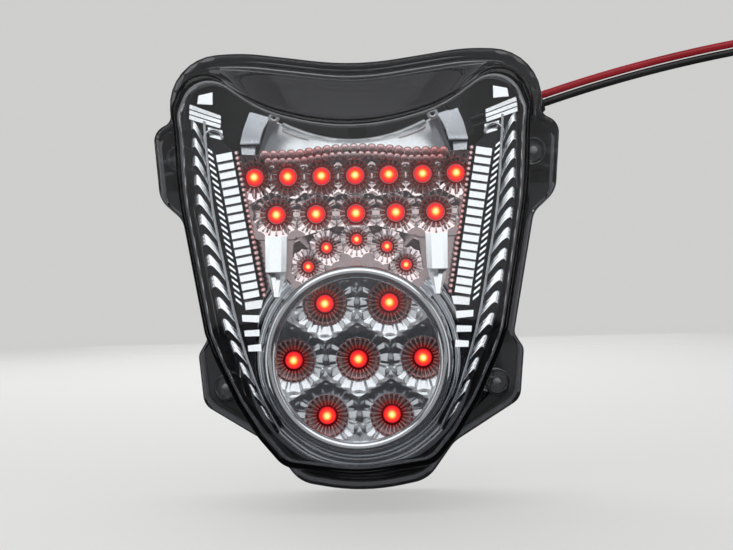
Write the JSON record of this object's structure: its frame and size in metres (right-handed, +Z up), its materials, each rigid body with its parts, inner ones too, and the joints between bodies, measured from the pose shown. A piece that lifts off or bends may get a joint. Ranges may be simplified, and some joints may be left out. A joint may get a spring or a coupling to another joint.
{
  "type": "motorcycle tail light",
  "caption": "Clear-lens LED motorcycle tail light with chrome cup reflectors, a round lower lamp, side trims, sealed black housing and a two-wire lead.",
  "frame": {"origin": "centre of the four mounting bolts, on the plane of the boss ends that rest against the vehicle", "axes": "the lens faces -Y, +Z is up as mounted, +X is to the right seen from behind the vehicle"},
  "size_m": [0.193, 0.074, 0.1317],
  "materials": {
    "clear_lens": "gloss",
    "black_rubber": "matt",
    "black_plastic": "fine texture",
    "steel": "zinc plated",
    "brass": "tinned brass",
    "chrome_plastic": "vacuum metallised",
    "red_led": "clear red epoxy, lit",
    "circuit_board": "solder mask",
    "resistor_body": "lacquered",
    "diode_body": "moulded",
    "red_cable": "soft vinyl",
    "black_cable": "soft vinyl",
    "clear_vinyl": "translucent"
  },
  "bodies": {
    "root": {"outer_lens": "clear_lens", "lens_gasket": "black_rubber", "rear_housing": "black_plastic", "lens_screws": "steel", "mounting_inserts": "brass", "round_ring": "chrome_plastic", "round_reflector": "chrome_plastic", "main_reflector": "chrome_plastic", "side_trim_left": "chrome_plastic", "side_trim_right": "chrome_plastic", "visor_panel": "chrome_plastic", "visor_pins": "chrome_plastic", "round_leds": "red_led", "large_leds": "red_led", "small_leds": "red_led", "round_board": "circuit_board", "upper_board": "circuit_board", "board_screws": "steel", "reflector_screws": "steel", "trim_screws": "steel", "ring_screws": "steel", "round_resistors": "resistor_body", "upper_resistors": "resistor_body", "protection_diodes": "diode_body", "jumper_wires": "red_cable", "wire_grommet": "black_rubber", "wire_clamp": "black_plastic", "clamp_screw": "steel", "red_wire": "red_cable", "black_wire": "black_cable", "bullet_terminals": "brass", "terminal_sleeves": "clear_vinyl", "breather_cap": "black_rubber"}
  },
  "joints": []
}
